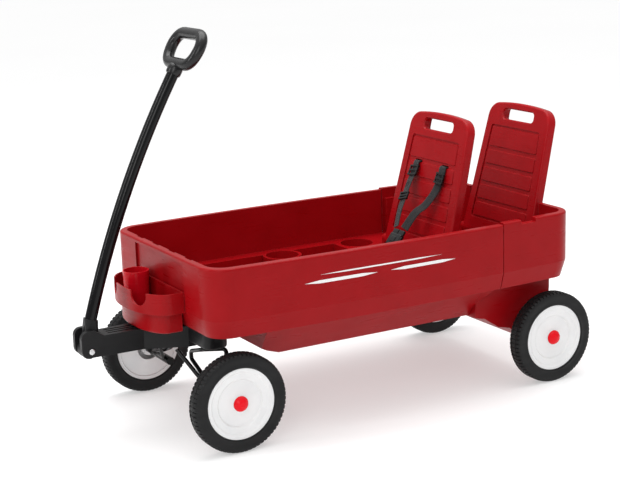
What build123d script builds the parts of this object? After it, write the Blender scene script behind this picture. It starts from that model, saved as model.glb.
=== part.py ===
"""Children's pull wagon: moulded bed, steered front truck, draw handle and two folding seat backs.

Millimetres, +Z up, the draw handle at -X, the wheels standing on Z = 0.
"""
from build123d import *
from math import cos, radians, sin
import os

os.makedirs("parts", exist_ok=True)

# ---- wheels and axles ----
wheel_diameter = 230.0
tyre_width = 40.0
disc_diameter = 165.0
wheel_track = 516.0            # between the middle planes of the two tyres
wheel_base = 879.0
axle_diameter = 12.0
running_clearance = 0.05       # radial, wherever a shaft turns in a bore
hub_bore_diameter = 20.0       # hub hole that takes the bushing
hub_diameter = 36.0
hub_inner_reach = 22.0         # hub ends, measured from the wheel's middle plane
hub_outer_reach = 13.0
end_play = 0.5
cap_diameter = 36.0
cap_height = 13.0

# ---- bed ----
body_length = 1006.0
body_end_width = 544.0
body_mid_width = 574.0
corner_radius = 60.0
skin = 3.5
rim_width = 17.0
rim_radius = 5.0
rim_height = 427.0
rear_rim_height = 431.0
ledge_height = 308.0
skirt_height = 266.0
skirt_inset = 12.0
seam_setback = 779.0           # from the bed's front edge to the joint with the rear box
seam_gap = 2.5
joint_gap = 0.6
front_axle_setback = 62.5
recess_half_width = 135.0
recess_depth = 5.0
notch_setback = 834.0
notch_length = 46.0
notch_depth = 10.0
nest_wall = 6.0
nest_height = 372.0            # top of the rear wall where the rear seat back leans over it

# ---- tub below the bed ----
tub_wall = 4.0
tub_half_width = 236.0
tub_shoulder_height = 262.0
tub_crease_half_width = 195.0
tub_crease_height = 212.0
tub_bottom_half_width = 168.0
tub_bottom_height = 180.0
tub_front_setback = 162.0
tub_rear_setback = 754.0
bench_setback = 605.0
well_diameter = 86.0
well_wall = 7.0
well_offset = 205.0
well_depth = 37.0
well_setbacks = (435.0, 660.0)

# ---- rear housing ----
housing_half_width = 200.0
housing_wall = 5.0
footwell_setback = 880.0       # rear wall of the footwell, from the bed's front edge
footwell_half_width = 194.0
floor_bolt_inset = 11.0
floor_bolt_boss = 8.0

# ---- seat backs ----
seat_width = 290.0
seat_top_width = 252.0
seat_thickness = 27.0
seat_length = 350.0
seat_lean = 14.0
seat_crown = 10.0
seat_corner_radius = 40.0
seat_edge_radius = 6.0
seat_skin = 4.5
seat_floor_clearance = 0.8
front_seat_setback = 721.5
rear_seat_setback = 972.5
slot_width = 126.0
slot_height = 27.0
slot_bar = 19.0
panel_margin = 27.0
panel_top = 285.0
panel_bottom = 32.0
panel_depth = 1.0
groove_depth = 3.5
groove_width = 10.0
top_cell_share = 1.4            # height of the top cell against the others
cell_count = 5
slot_lip = 14.0
slot_lip_depth = 10.0
slot_bevel = 3.0
seat_pin_diameter = 10.0
lug_thickness = 12.0
lug_gap = 1.0

# ---- harness ----
webbing_width = 25.0
webbing_thickness = 2.5
webbing_clearance = 0.3
strap_spacing = 117.0
strap_top = 218.0
strap_bottom = 80.0
buckle_height = 40.0

# ---- front tray and cup ----
tray_half_width = 133.0
tray_reach = 94.0
tray_straight = 30.0
tray_wall = 3.5
tray_bottom = 255.0
tray_step = 303.0
tray_top = 351.0
tray_overhang = 16.0
notch_width = 52.0
notch_offset = 67.0
cup_diameter = 62.0
cup_height = 113.0
cup_offset = 51.0
cup_setback = -37.0
cup_wall = 2.5
screw_diameter = 5.0
screw_head_diameter = 11.0
screw_clearance = 0.1

# ---- steering truck ----
tongue_bottom = 203.0
bolster_bottom = 215.0
truck_top = 252.0
turntable_radius = 41.0
bearing_thickness = 2.0
bearing_gap = 0.3
kingpin_diameter = 16.0
bolster_half_length = 170.0
bolster_half_depth = 30.0
bolster_corner = 22.0
tongue_half_width = 28.0
ear_spacing = 44.0             # between the middles of the two ears
ear_thickness = 12.0
ear_reach = 210.5
ear_bottom = 203.5
ear_top = 266.0
tongue_end = 155.0             # front of the arm's body, ahead of the bed
brace_diameter = 10.0
sleeve_diameter = 20.0
stub_start = 105.0             # inner end of each front stub axle, from the middle

# ---- handle ----
pivot_reach = 187.5
pivot_height = 218.0
clevis_bolt_diameter = 8.0
yoke_clearance = 0.6           # each side, between the yoke and an ear
yoke_depth = 32.0
yoke_barrel = 40.0
handle_tube_diameter = 28.0
handle_tube_wall = 2.0
handle_lean_low = 15.8
handle_lean_top = 31.0
handle_tube_start = 40.0       # tube's lower end, up from the pivot
handle_tube_length = 637.0
yoke_socket = 32.0
grip_socket = 14.0
tube_offset = 7.0              # tube ahead of the pivot
grip_width = 152.0
grip_height = 98.0
grip_thickness = 23.0
grip_corner = 30.0
grip_bar = 24.0
grip_round = 9.0
grip_taper = 22.0              # each side, from the top bar to the bottom bar

# ---- positions that follow from the sizes above ----
wheel_radius = wheel_diameter / 2
seat_pivot_height = ledge_height + seat_floor_clearance + seat_thickness / 2
rear_edge_up = seat_length - seat_edge_radius
rear_edge_out = seat_thickness / 2 - seat_edge_radius
rear_seat_reach = (rear_seat_setback + rear_edge_up * sin(radians(seat_lean))
                   + rear_edge_out * cos(radians(seat_lean)) + seat_edge_radius)
rear_wheel_reach = front_axle_setback + wheel_base + wheel_radius
front_x = (ear_reach - max(rear_seat_reach, rear_wheel_reach)) / 2
back_x = front_x + body_length
seam_x = front_x + seam_setback
kingpin_x = front_x + front_axle_setback
rear_axle_x = kingpin_x + wheel_base
wheel_y = wheel_track / 2
boss_radius = kingpin_diameter / 2 + 20
boss_bottom = tub_shoulder_height
turntable_top = boss_bottom - bearing_thickness - bearing_gap
panel_step = seat_thickness / 2 - panel_depth
pieces = {}


def keep(name, shape):
    """Name a finished piece and write its own file."""
    shape.label = name
    export_step(shape, f"parts/{name}.step")
    pieces[name] = shape


def body_plan(inset):
    """Bed outline: flat ends, rounded corners and gently bowed sides."""
    start, end = front_x + inset, back_x - inset
    half_end = body_end_width / 2 - inset
    half_mid = body_mid_width / 2 - inset
    middle = (start + end) / 2
    with BuildLine() as outline:
        Line((start, half_end), (start, -half_end))
        ThreePointArc((start, -half_end), (middle, -half_mid), (end, -half_end))
        Line((end, -half_end), (end, half_end))
        ThreePointArc((end, half_end), (middle, half_mid), (start, half_end))
    make_face(outline.edges())
    fillet(vertices(), corner_radius - inset)


def block(x_from, x_to, y_from, y_to, z_from, z_to, mode=Mode.ADD):
    """Box between two corners."""
    centre = ((x_from + x_to) / 2, (y_from + y_to) / 2, (z_from + z_to) / 2)
    with Locations(centre):
        Box(x_to - x_from, y_to - y_from, z_to - z_from, mode=mode)


def wall_ring(top, hollow):
    """Side wall above the ledge, all round: two skins under a rim, or solid."""
    height = top - ledge_height
    base = Plane.XY.offset(ledge_height)
    with BuildPart() as ring:
        with BuildSketch(base):
            body_plan(0)
        extrude(amount=height)
        fillet(ring.edges().group_by(Axis.Z)[-1], rim_radius)
        if hollow:
            with BuildSketch(base):
                body_plan(skin)
            extrude(amount=height - skin, mode=Mode.SUBTRACT)
            with BuildSketch(base):
                body_plan(rim_width - skin)
            extrude(amount=height - skin)
        with BuildSketch(base):
            body_plan(rim_width)
        extrude(amount=height, mode=Mode.SUBTRACT)
    return ring.part


def skirt_ring():
    """Tapered skirt below the crease, all round."""
    with BuildPart() as skirt:
        with BuildSketch(Plane.XY.offset(ledge_height)):
            body_plan(0)
        with BuildSketch(Plane.XY.offset(skirt_height)):
            body_plan(skirt_inset)
        loft()
        with BuildSketch(Plane.XY.offset(ledge_height)):
            body_plan(skin)
        with BuildSketch(Plane.XY.offset(skirt_height)):
            body_plan(skirt_inset + skin)
        loft(mode=Mode.SUBTRACT)
    return skirt.part


def wall_block(solid_ring, x_from, x_to, half_width=body_mid_width):
    """Piece of the solid wall between two stations."""
    with BuildPart() as piece:
        add(solid_ring)
        block(x_from, x_to, -half_width, half_width, 0, 2 * rear_rim_height, Mode.INTERSECT)
    return piece.part


# ---- bed shell: the double-skinned wall ahead of the seam ----
skirt = skirt_ring()
front_wall = wall_ring(rim_height, False)
front_skins = wall_ring(rim_height, True)
shell_end = seam_x - seam_gap / 2
screw_y = tray_half_width - 35
tray_screw_height = tray_top - 15
seam_plate = wall_block(front_wall, shell_end - skin, shell_end)
front_panel = wall_block(front_wall, front_x, front_x + rim_width, recess_half_width + skin)
with BuildPart() as bed_shell:
    add(front_skins)
    add(skirt)
    block(front_x, shell_end, -body_mid_width, body_mid_width, 0, 2 * rim_height, Mode.INTERSECT)
    add(seam_plate)
    add(front_panel)
    block(front_x, front_x + recess_depth, -recess_half_width, recess_half_width,
          ledge_height, rim_height - 2 * rim_radius, Mode.SUBTRACT)
    with BuildSketch(Plane.YZ.offset(front_x)):
        with Locations((-screw_y, tray_screw_height), (screw_y, tray_screw_height)):
            Circle(screw_diameter / 2 + screw_clearance)
    extrude(amount=rim_width, mode=Mode.SUBTRACT)
    for y in (-150, -60, 30, 120):
        block(front_x + rim_width - 4, front_x + rim_width, y, y + 34, rim_height - 3,
              rim_height, Mode.SUBTRACT)
keep("bed_shell", bed_shell.part)

# ---- rear box: the same wall behind the seam, with its floor and a nest for the seat back ----
box_start = seam_x + seam_gap / 2
rear_wall = wall_ring(rear_rim_height, False)
rear_skins = wall_ring(rear_rim_height, True)
nest_half_width = seat_width / 2 + 4
lug_start = seat_width / 2 + lug_gap
lug_middle = lug_start + lug_thickness / 2
bench_start = front_x + footwell_setback
rear_pivot_x = front_x + rear_seat_setback
front_pivot_x = front_x + front_seat_setback
floor_bolt_length = 24.0
floor_bolts = [(x, y) for x in (bench_start + 14, kingpin_x + wheel_base + 20)
               for y in (floor_bolt_inset - housing_half_width,
                         housing_half_width - floor_bolt_inset)]


def hinge_lugs(pivot_x):
    """Two round-topped lugs that carry a seat back's hinge pin."""
    radius = seat_thickness / 2 - 2
    for side in (-1, 1):
        with BuildSketch(Plane.XZ.offset(side * lug_middle - lug_thickness / 2)) as lug:
            with Locations((pivot_x, seat_pivot_height)):
                Circle(radius)
            with Locations((pivot_x, (ledge_height + seat_pivot_height) / 2)):
                Rectangle(2 * radius, seat_pivot_height - ledge_height)
            with Locations((pivot_x, seat_pivot_height)):
                Circle(seat_pin_diameter / 2, mode=Mode.SUBTRACT)
        extrude(lug.sketch, amount=lug_thickness)


notch_x = front_x + notch_setback
box_plate = wall_block(rear_wall, box_start, box_start + skin)
notch_block = wall_block(rear_wall, notch_x - skin, notch_x + notch_length + skin)
nest_panel = wall_block(rear_wall, back_x - rim_width, back_x, nest_half_width + skin)
with BuildPart() as rear_box:
    add(rear_skins)
    add(skirt)
    block(box_start, back_x, -body_mid_width, body_mid_width, 0, 2 * rear_rim_height, Mode.INTERSECT)
    add(box_plate)
    add(notch_block)
    add(nest_panel)
    block(back_x - rim_width, back_x - nest_wall, -nest_half_width, nest_half_width,
          ledge_height, rear_rim_height, Mode.SUBTRACT)
    block(back_x - 2 * rim_width, back_x + rim_width, -nest_half_width, nest_half_width,
          nest_height, 2 * rear_rim_height, Mode.SUBTRACT)
    block(notch_x, notch_x + notch_length, -body_mid_width, body_mid_width,
          rear_rim_height - notch_depth, rear_rim_height, Mode.SUBTRACT)
    with BuildSketch(Plane.XY.offset(ledge_height)):
        body_plan(skin + 1.5)
        with Locations((box_start - body_length, 0)):
            Rectangle(2 * body_length, 2 * body_mid_width, mode=Mode.SUBTRACT)
        with Locations(((box_start + bench_start) / 2, 0)):
            Rectangle(bench_start - box_start - 2 * skin, 2 * footwell_half_width - 24,
                      mode=Mode.SUBTRACT)
        with Locations(*floor_bolts):
            Circle(screw_diameter / 2 + screw_clearance, mode=Mode.SUBTRACT)
    extrude(amount=-tub_wall)
    for side in (-1, 1):
        post_y = side * (body_end_width / 2 - rim_width - 3)
        block(box_start + skin + 2, box_start + skin + 28, min(post_y, post_y + side * 12),
              max(post_y, post_y + side * 12), ledge_height, rear_rim_height - 27)
    hinge_lugs(rear_pivot_x)
keep("rear_box", rear_box.part)


# ---- tub: ledge, footwell, bench and cup wells below the bed shell ----
def tub_section(inset):
    """Cross-section of the tub, looking along the wagon."""
    with BuildLine() as outline:
        Polyline((-tub_bottom_half_width, tub_bottom_height),
                 (-tub_crease_half_width, tub_crease_height),
                 (-tub_half_width, tub_shoulder_height), (-tub_half_width, ledge_height),
                 (tub_half_width, ledge_height), (tub_half_width, tub_shoulder_height),
                 (tub_crease_half_width, tub_crease_height),
                 (tub_bottom_half_width, tub_bottom_height), close=True)
    make_face(outline.edges())
    if inset:
        offset(amount=-inset, kind=Kind.INTERSECTION, mode=Mode.REPLACE)


def tub_body(inset, start, end):
    """Tub volume between two stations, inset by a wall, and open at the top if inset."""
    front = front_x + tub_front_setback + inset
    floor = tub_bottom_height + inset
    with BuildPart() as volume:
        with BuildSketch(Plane.YZ.offset(start)):
            tub_section(inset)
            if inset:
                with Locations((0, ledge_height)):
                    Rectangle(2 * (tub_half_width - inset), 4 * inset)
        extrude(amount=end - start)
        with BuildSketch(Plane.XZ):
            with BuildLine():
                Polyline((front - 55, 2 * ledge_height), (front - 6, tub_shoulder_height),
                         (front, tub_crease_height - 8), (front + 18, tub_crease_height - 18),
                         (front + 55, floor), (end, floor), (end, 2 * ledge_height), close=True)
            make_face()
        extrude(amount=tub_half_width, both=True, mode=Mode.INTERSECT)
    return volume.part


tub_start = front_x + tub_front_setback - 60
tub_end = front_x + tub_rear_setback
bench_x = front_x + bench_setback
well_x = [front_x + setback for setback in well_setbacks]
well_places = [(x, y) for x in well_x for y in (-well_offset, well_offset)]
flange_inset = skin + 1.6
tub_outside = tub_body(0, tub_start, tub_end)
footwell = tub_body(tub_wall, tub_start, bench_x)
with BuildPart() as bench_cavity:
    add(tub_body(tub_wall, bench_x + tub_wall, tub_end))
    block(bench_x, tub_end, -body_mid_width, body_mid_width, 0, ledge_height - tub_wall,
          Mode.INTERSECT)
with BuildPart() as bed_tub:
    add(tub_outside)
    with BuildSketch(Plane.XY.offset(ledge_height)):
        body_plan(flange_inset)
        with Locations((shell_end + body_length, 0)):
            Rectangle(2 * body_length, 2 * body_mid_width, mode=Mode.SUBTRACT)
    extrude(amount=-tub_wall)
    add(footwell, mode=Mode.SUBTRACT)
    add(bench_cavity.part, mode=Mode.SUBTRACT)
    with BuildSketch(Plane.XY.offset(ledge_height - well_depth - tub_wall)):
        with Locations(*well_places):
            Circle(well_diameter / 2 + well_wall)
    extrude(amount=well_depth + tub_wall)
    with BuildSketch(Plane.XY.offset(ledge_height - well_depth)):
        with Locations(*well_places):
            Circle(well_diameter / 2)
    extrude(amount=well_depth, mode=Mode.SUBTRACT)
    with BuildSketch(Plane.XY.offset(boss_bottom)):
        with Locations((kingpin_x, 0)):
            Circle(boss_radius)
    extrude(amount=ledge_height - boss_bottom)
    with BuildSketch(Plane.XY.offset(boss_bottom)):
        with Locations((kingpin_x, 0)):
            Circle(kingpin_diameter / 2)
    extrude(amount=ledge_height - boss_bottom, mode=Mode.SUBTRACT)
    hinge_lugs(front_pivot_x)
keep("bed_tub", bed_tub.part)


# ---- rear housing: footwell and axle carrier under the rear box ----
housing_top = ledge_height - tub_wall
housing_start = tub_end + joint_gap
footwell_end = front_x + footwell_setback
axle_bore = axle_diameter / 2 + running_clearance
cheek_end = housing_start + 62
with BuildPart() as cheeks:
    with BuildSketch(Plane.YZ.offset(housing_start)):
        tub_section(0)
    extrude(amount=cheek_end - housing_start)
    with BuildSketch(Plane.XZ):
        with BuildLine():
            Polyline((housing_start, housing_top), (housing_start, tub_crease_height),
                     (cheek_end - 16, tub_shoulder_height), (cheek_end, housing_top), close=True)
        make_face()
    extrude(amount=tub_half_width, both=True, mode=Mode.INTERSECT)
with BuildPart() as rear_housing:
    with BuildSketch(Plane.XZ):
        with BuildLine():
            Polyline((housing_start, housing_top), (housing_start, tub_bottom_height - 1),
                     (housing_start + 28, 172), (housing_start + 68, 145),
                     (housing_start + 105, 136), (rear_axle_x - 50, 108),
                     (rear_axle_x - 22, 94), (rear_axle_x + 18, 94), (rear_axle_x + 30, 108),
                     (rear_axle_x + 42, 224), (rear_axle_x + 42, housing_top), close=True)
        make_face()
    extrude(amount=housing_half_width, both=True)
    fillet(rear_housing.edges().filter_by(Axis.X).group_by(Axis.Z)[0], 8)
    add(cheeks.part)
    with BuildSketch(Plane.XZ):
        with BuildLine():
            Polyline((housing_start + housing_wall, housing_top),
                     (housing_start + housing_wall, tub_bottom_height + housing_wall),
                     (housing_start + 30, 178), (housing_start + 70, 151),
                     (housing_start + 105, 143), (footwell_end, 138),
                     (footwell_end, housing_top), close=True)
        make_face()
    extrude(amount=footwell_half_width, both=True, mode=Mode.SUBTRACT)
    block(footwell_end + housing_wall, rear_axle_x + 42 - housing_wall - 8,
          -footwell_half_width, footwell_half_width, 136, housing_top, Mode.SUBTRACT)
    block(footwell_end + housing_wall, rear_axle_x - 16, -footwell_half_width,
          footwell_half_width, 118, 136, Mode.SUBTRACT)
    with BuildSketch(Plane.XY.offset(housing_top)):
        with Locations(*floor_bolts):
            Circle(floor_bolt_boss)
    extrude(amount=-floor_bolt_length - housing_wall)
    with BuildSketch(Plane.XZ):
        with Locations((rear_axle_x, wheel_radius)):
            Circle(axle_diameter / 2)
    extrude(amount=housing_half_width, both=True, mode=Mode.SUBTRACT)
    with BuildSketch(Plane.XY.offset(housing_top)):
        with Locations(*floor_bolts):
            Circle(screw_diameter / 2)
    extrude(amount=-floor_bolt_length, mode=Mode.SUBTRACT)
keep("rear_housing", rear_housing.part)

with BuildPart() as floor_screws:
    with BuildSketch(Plane.XY.offset(ledge_height)):
        with Locations(*floor_bolts):
            Circle(screw_head_diameter / 2)
    extrude(amount=3)
    with BuildSketch(Plane.XY.offset(ledge_height)):
        with Locations(*floor_bolts):
            Circle(screw_diameter / 2)
    extrude(amount=-(tub_wall + floor_bolt_length))
keep("floor_screws", floor_screws.part)


# ---- front tray, its screws and the lift-out cup ----
def tray_plan(inset):
    """Half-round tray outline against the bed's front."""
    straight = front_x - tray_straight
    across = tray_half_width - inset
    out = tray_reach - tray_straight - inset
    with BuildLine() as outline:
        Line((front_x, across), (straight, across))
        EllipticalCenterArc((straight, 0), out, across, start_angle=90, arc_size=180)
        Line((straight, -across), (front_x, -across))
        Line((front_x, -across), (front_x, across))
    make_face(outline.edges())


cup_x = front_x + cup_setback
seat_ring_height = 14.0
with BuildPart() as front_tray:
    with BuildSketch(Plane.XY.offset(tray_bottom)):
        tray_plan(tray_overhang)
    extrude(amount=tray_step - tray_bottom)
    with BuildSketch(Plane.XY.offset(tray_step)):
        tray_plan(0)
    extrude(amount=tray_top - tray_step)
    fillet(front_tray.edges().group_by(Axis.Z)[0].sort_by(Axis.X)[:1], 6)
    with BuildSketch(Plane.XY.offset(tray_bottom + tray_wall)):
        tray_plan(tray_overhang + tray_wall)
        with Locations((front_x, 0)):
            Rectangle(2 * tray_wall, 2 * tray_half_width, mode=Mode.SUBTRACT)
    extrude(amount=tray_step - tray_bottom, mode=Mode.SUBTRACT)
    with BuildSketch(Plane.XY.offset(tray_step + tray_wall)):
        tray_plan(tray_wall)
        with Locations((front_x, 0)):
            Rectangle(2 * tray_wall, 2 * tray_half_width, mode=Mode.SUBTRACT)
    extrude(amount=tray_top - tray_step, mode=Mode.SUBTRACT)
    with BuildSketch(Plane.XY.offset(tray_bottom + tray_wall)):
        with Locations((cup_x, cup_offset)):
            Circle(cup_diameter / 2 + 1 + tray_wall)
            Circle(cup_diameter / 2 + 1, mode=Mode.SUBTRACT)
    extrude(amount=seat_ring_height)
    with BuildSketch(Plane.YZ.offset(front_x - tray_straight)):
        with Locations((-notch_offset, tray_top), (notch_offset, tray_top)):
            SlotOverall(notch_width + 12, notch_width, rotation=90)
    extrude(amount=-tray_reach, mode=Mode.SUBTRACT)
    block(front_x, front_x + recess_depth, -screw_y - 12, screw_y + 12, ledge_height + 6,
          tray_top - 4)
    with BuildSketch(Plane.YZ.offset(front_x - tray_wall)):
        with Locations((-screw_y, tray_screw_height), (screw_y, tray_screw_height)):
            Circle(screw_diameter / 2 + screw_clearance)
    extrude(amount=2 * tray_wall + recess_depth, mode=Mode.SUBTRACT)
keep("front_tray", front_tray.part)

with BuildPart() as tray_screws:
    with BuildSketch(Plane.YZ.offset(front_x - tray_wall)):
        with Locations((-screw_y, tray_screw_height), (screw_y, tray_screw_height)):
            Circle(screw_head_diameter / 2)
    extrude(amount=-2.5)
    with BuildSketch(Plane.YZ.offset(front_x - tray_wall)):
        with Locations((-screw_y, tray_screw_height), (screw_y, tray_screw_height)):
            Circle(screw_diameter / 2)
    extrude(amount=tray_wall + rim_width - 1)
keep("tray_screws", tray_screws.part)

cup_bottom = tray_bottom + tray_wall
cup_radius = cup_diameter / 2
with BuildPart() as cup:
    with BuildSketch(Plane((cup_x, cup_offset, cup_bottom), x_dir=(1, 0, 0), z_dir=(0, -1, 0))):
        with BuildLine():
            Polyline((0, 0), (cup_radius - 3, 0), (cup_radius, cup_height),
                     (cup_radius - cup_wall, cup_height), (cup_radius - 3 - cup_wall, cup_wall),
                     (0, cup_wall), close=True)
        make_face()
    revolve(axis=Axis((cup_x, cup_offset, 0), (0, 0, 1)))
keep("cup", cup.part)


# ---- wheels, caps and axles ----
def wheel_profile(points, x, y, side):
    """Turn a half-section, given as radius and outward distance, about a wheel's axis."""
    with BuildPart() as turned:
        with BuildSketch(Plane.XY.offset(wheel_radius)):
            with BuildLine():
                Polyline(*[(x + radius, y + side * out) for radius, out in points], close=True)
            make_face()
        revolve(axis=Axis((x, y, wheel_radius), (0, 1, 0)))
    return turned.part


disc_radius = disc_diameter / 2
hub_radius = hub_diameter / 2
half_tyre = tyre_width / 2
bushing_radius = hub_bore_diameter / 2
tyre_profile = [(disc_radius, -half_tyre + 4), (disc_radius + 4, -half_tyre),
                (wheel_radius - 9, -half_tyre), (wheel_radius - 2.5, -half_tyre + 4),
                (wheel_radius, -half_tyre + 10), (wheel_radius, half_tyre - 10),
                (wheel_radius - 2.5, half_tyre - 4), (wheel_radius - 9, half_tyre),
                (disc_radius + 4, half_tyre), (disc_radius, half_tyre - 4)]
web = 3.5
ring_edge = disc_radius - 7.5
disc_profile = [(bushing_radius, hub_outer_reach), (hub_radius, hub_outer_reach),
                (hub_radius, hub_outer_reach - 3), (53, 8), (57, 12), (ring_edge - 5, 12.5),
                (ring_edge, half_tyre - 3), (disc_radius, half_tyre - 3),
                (disc_radius, -half_tyre + 3), (ring_edge, -half_tyre + 3),
                (ring_edge - 2, -14), (30, -21), (30, -21 + web), (ring_edge - 4, -14 + web),
                (ring_edge - 4, 12.5 - web), (58, 12 - web), (54, 8 - web),
                (hub_radius, hub_outer_reach - 3 - web), (hub_radius, -hub_inner_reach),
                (bushing_radius, -hub_inner_reach)]
bushing_profile = [(axle_bore, hub_outer_reach), (bushing_radius, hub_outer_reach),
                   (bushing_radius, -hub_inner_reach), (axle_bore, -hub_inner_reach)]
cap_radius = cap_diameter / 2
cap_start = hub_outer_reach + end_play
axle_grip = cap_start + cap_height / 2
cap_profile = [(axle_diameter / 2, cap_start), (cap_radius, cap_start), (cap_radius, cap_start + 2),
               (cap_radius - 2.5, cap_start + 6.5), (cap_radius - 7, cap_start + 10),
               (cap_radius - 12, cap_start + 12.2), (0, cap_start + cap_height),
               (0, axle_grip), (axle_diameter / 2, axle_grip)]
for end, wheel_x in (("front", kingpin_x), ("rear", rear_axle_x)):
    for side, name in ((-1, "left"), (1, "right")):
        for item, profile in (("tyre", tyre_profile), ("disc", disc_profile),
                              ("bushing", bushing_profile)):
            keep(f"{end}_{name}_{item}", wheel_profile(profile, wheel_x, side * wheel_y, side))
    left_cap = wheel_profile(cap_profile, wheel_x, -wheel_y, -1)
    right_cap = wheel_profile(cap_profile, wheel_x, wheel_y, 1)
    keep(f"{end}_hub_caps", Compound(children=[left_cap, right_cap]))

with BuildPart() as rear_axle:
    with BuildSketch(Plane.XZ):
        with Locations((rear_axle_x, wheel_radius)):
            Circle(axle_diameter / 2)
    extrude(amount=wheel_y + axle_grip, both=True)
keep("rear_axle", rear_axle.part)

with BuildPart() as stub_axles:
    for side in (-1, 1):
        with BuildSketch(Plane.XZ.offset(-side * stub_start)):
            with Locations((kingpin_x, wheel_radius)):
                Circle(axle_diameter / 2)
        extrude(amount=-side * (wheel_y + axle_grip - stub_start))
keep("front_stub_axles", stub_axles.part)

sleeve_end = wheel_y - hub_inner_reach - end_play
with BuildPart() as rear_spacers:
    for side in (-1, 1):
        with BuildSketch(Plane.XZ.offset(-side * housing_half_width)):
            with Locations((rear_axle_x, wheel_radius)):
                Circle(sleeve_diameter / 2)
                Circle(axle_diameter / 2, mode=Mode.SUBTRACT)
        extrude(amount=-side * (sleeve_end - housing_half_width))
keep("rear_axle_spacers", rear_spacers.part)

# ---- steering truck: moulded tongue and bolster, turned on the kingpin ----
nose_x = front_x - ear_reach
pivot_x = front_x - pivot_reach
arm_x = front_x - tongue_end
ear_middle = ear_spacing / 2
ear_inner = ear_middle - ear_thickness / 2
kingpin_bore = kingpin_diameter / 2 + running_clearance
bolt_radius = clevis_bolt_diameter / 2
web_x = front_x - 60
web_half_width = tongue_half_width + 47
with BuildPart() as tongue:
    with BuildSketch(Plane.XY.offset(bolster_bottom)):
        with Locations((kingpin_x, 0)):
            RectangleRounded(2 * bolster_half_depth, 2 * bolster_half_length, bolster_corner)
    extrude(amount=truck_top - bolster_bottom)
    fillet(tongue.edges().group_by(Axis.Z)[0], 6)
    with BuildSketch(Plane.XY.offset(tongue_bottom)):
        with BuildLine():
            Polyline((arm_x, -tongue_half_width), (web_x, -tongue_half_width - 3),
                     (kingpin_x - bolster_half_depth, -web_half_width),
                     (kingpin_x + bolster_half_depth, -web_half_width),
                     (kingpin_x + bolster_half_depth, web_half_width),
                     (kingpin_x - bolster_half_depth, web_half_width),
                     (web_x, tongue_half_width + 3), (arm_x, tongue_half_width), close=True)
        make_face()
    extrude(amount=truck_top - tongue_bottom)
    with BuildSketch(Plane.XY.offset(truck_top)):
        with Locations((kingpin_x, 0)):
            Circle(turntable_radius)
    extrude(amount=turntable_top - truck_top)
    for side in (-1, 1):
        with BuildSketch(Plane.XZ.offset(-side * ear_inner)) as ear:
            with BuildLine() as ear_line:
                Polyline((nose_x, ear_bottom), (nose_x, ear_top), (nose_x + 32, ear_top),
                         (arm_x, truck_top), (arm_x + 10, truck_top),
                         (arm_x + 10, ear_bottom), close=True)
            make_face(ear_line.edges())
            fillet(ear.vertices().group_by(Axis.X)[0], 17)
        extrude(amount=-side * ear_thickness)
    for groove_y in (-14, 0, 14):
        block(arm_x + 14, front_x - 2, groove_y - 3, groove_y + 3, truck_top - 2.5, truck_top,
              Mode.SUBTRACT)
    block(arm_x + 10, front_x, -tongue_half_width + 6, tongue_half_width - 6, tongue_bottom,
          truck_top - 9, Mode.SUBTRACT)
    with BuildSketch(Plane.XY.offset(tongue_bottom)):
        with Locations((kingpin_x, 0)):
            Circle(kingpin_bore)
    extrude(amount=turntable_top - tongue_bottom, mode=Mode.SUBTRACT)
    with BuildSketch(Plane.XZ):
        with Locations((pivot_x, pivot_height)):
            Circle(bolt_radius)
    extrude(amount=2 * ear_spacing, both=True, mode=Mode.SUBTRACT)
keep("tongue", tongue.part)

with BuildPart() as bearing_plate:
    with BuildSketch(Plane.XY.offset(boss_bottom)):
        with Locations((kingpin_x, 0)):
            Circle(boss_radius)
            Circle(kingpin_diameter / 2, mode=Mode.SUBTRACT)
    extrude(amount=-bearing_thickness)
keep("bearing_plate", bearing_plate.part)

kingpin_end = tongue_bottom - 14
with BuildPart() as kingpin:
    with BuildSketch(Plane.XY.offset(ledge_height)):
        with Locations((kingpin_x, 0)):
            Circle(15)
    extrude(amount=6)
    fillet(kingpin.edges().group_by(Axis.Z)[-1], 4)
    with BuildSketch(Plane.XY.offset(ledge_height)):
        with Locations((kingpin_x, 0)):
            Circle(kingpin_diameter / 2)
    extrude(amount=-(ledge_height - kingpin_end))
keep("kingpin", kingpin.part)

with BuildPart() as kingpin_nut:
    with BuildSketch(Plane.XY.offset(tongue_bottom - bearing_gap)):
        with Locations((kingpin_x, 0)):
            Circle(16)
            Circle(kingpin_diameter / 2, mode=Mode.SUBTRACT)
    extrude(amount=-2)
    with BuildSketch(Plane.XY.offset(tongue_bottom - bearing_gap - 2)):
        with Locations((kingpin_x, 0)):
            RegularPolygon(13, 6)
            Circle(kingpin_diameter / 2, mode=Mode.SUBTRACT)
    extrude(amount=-9)
keep("kingpin_nut", kingpin_nut.part)


def rod(points, bend):
    """Round steel rod along straight runs with bent corners."""
    with BuildPart() as bent:
        with BuildLine() as path:
            FilletPolyline(*points, radius=bend)
        with BuildSketch(Plane(path.line @ 0, z_dir=path.line % 0)):
            Circle(brace_diameter / 2)
        sweep(path=path.line)
    return bent.part


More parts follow.
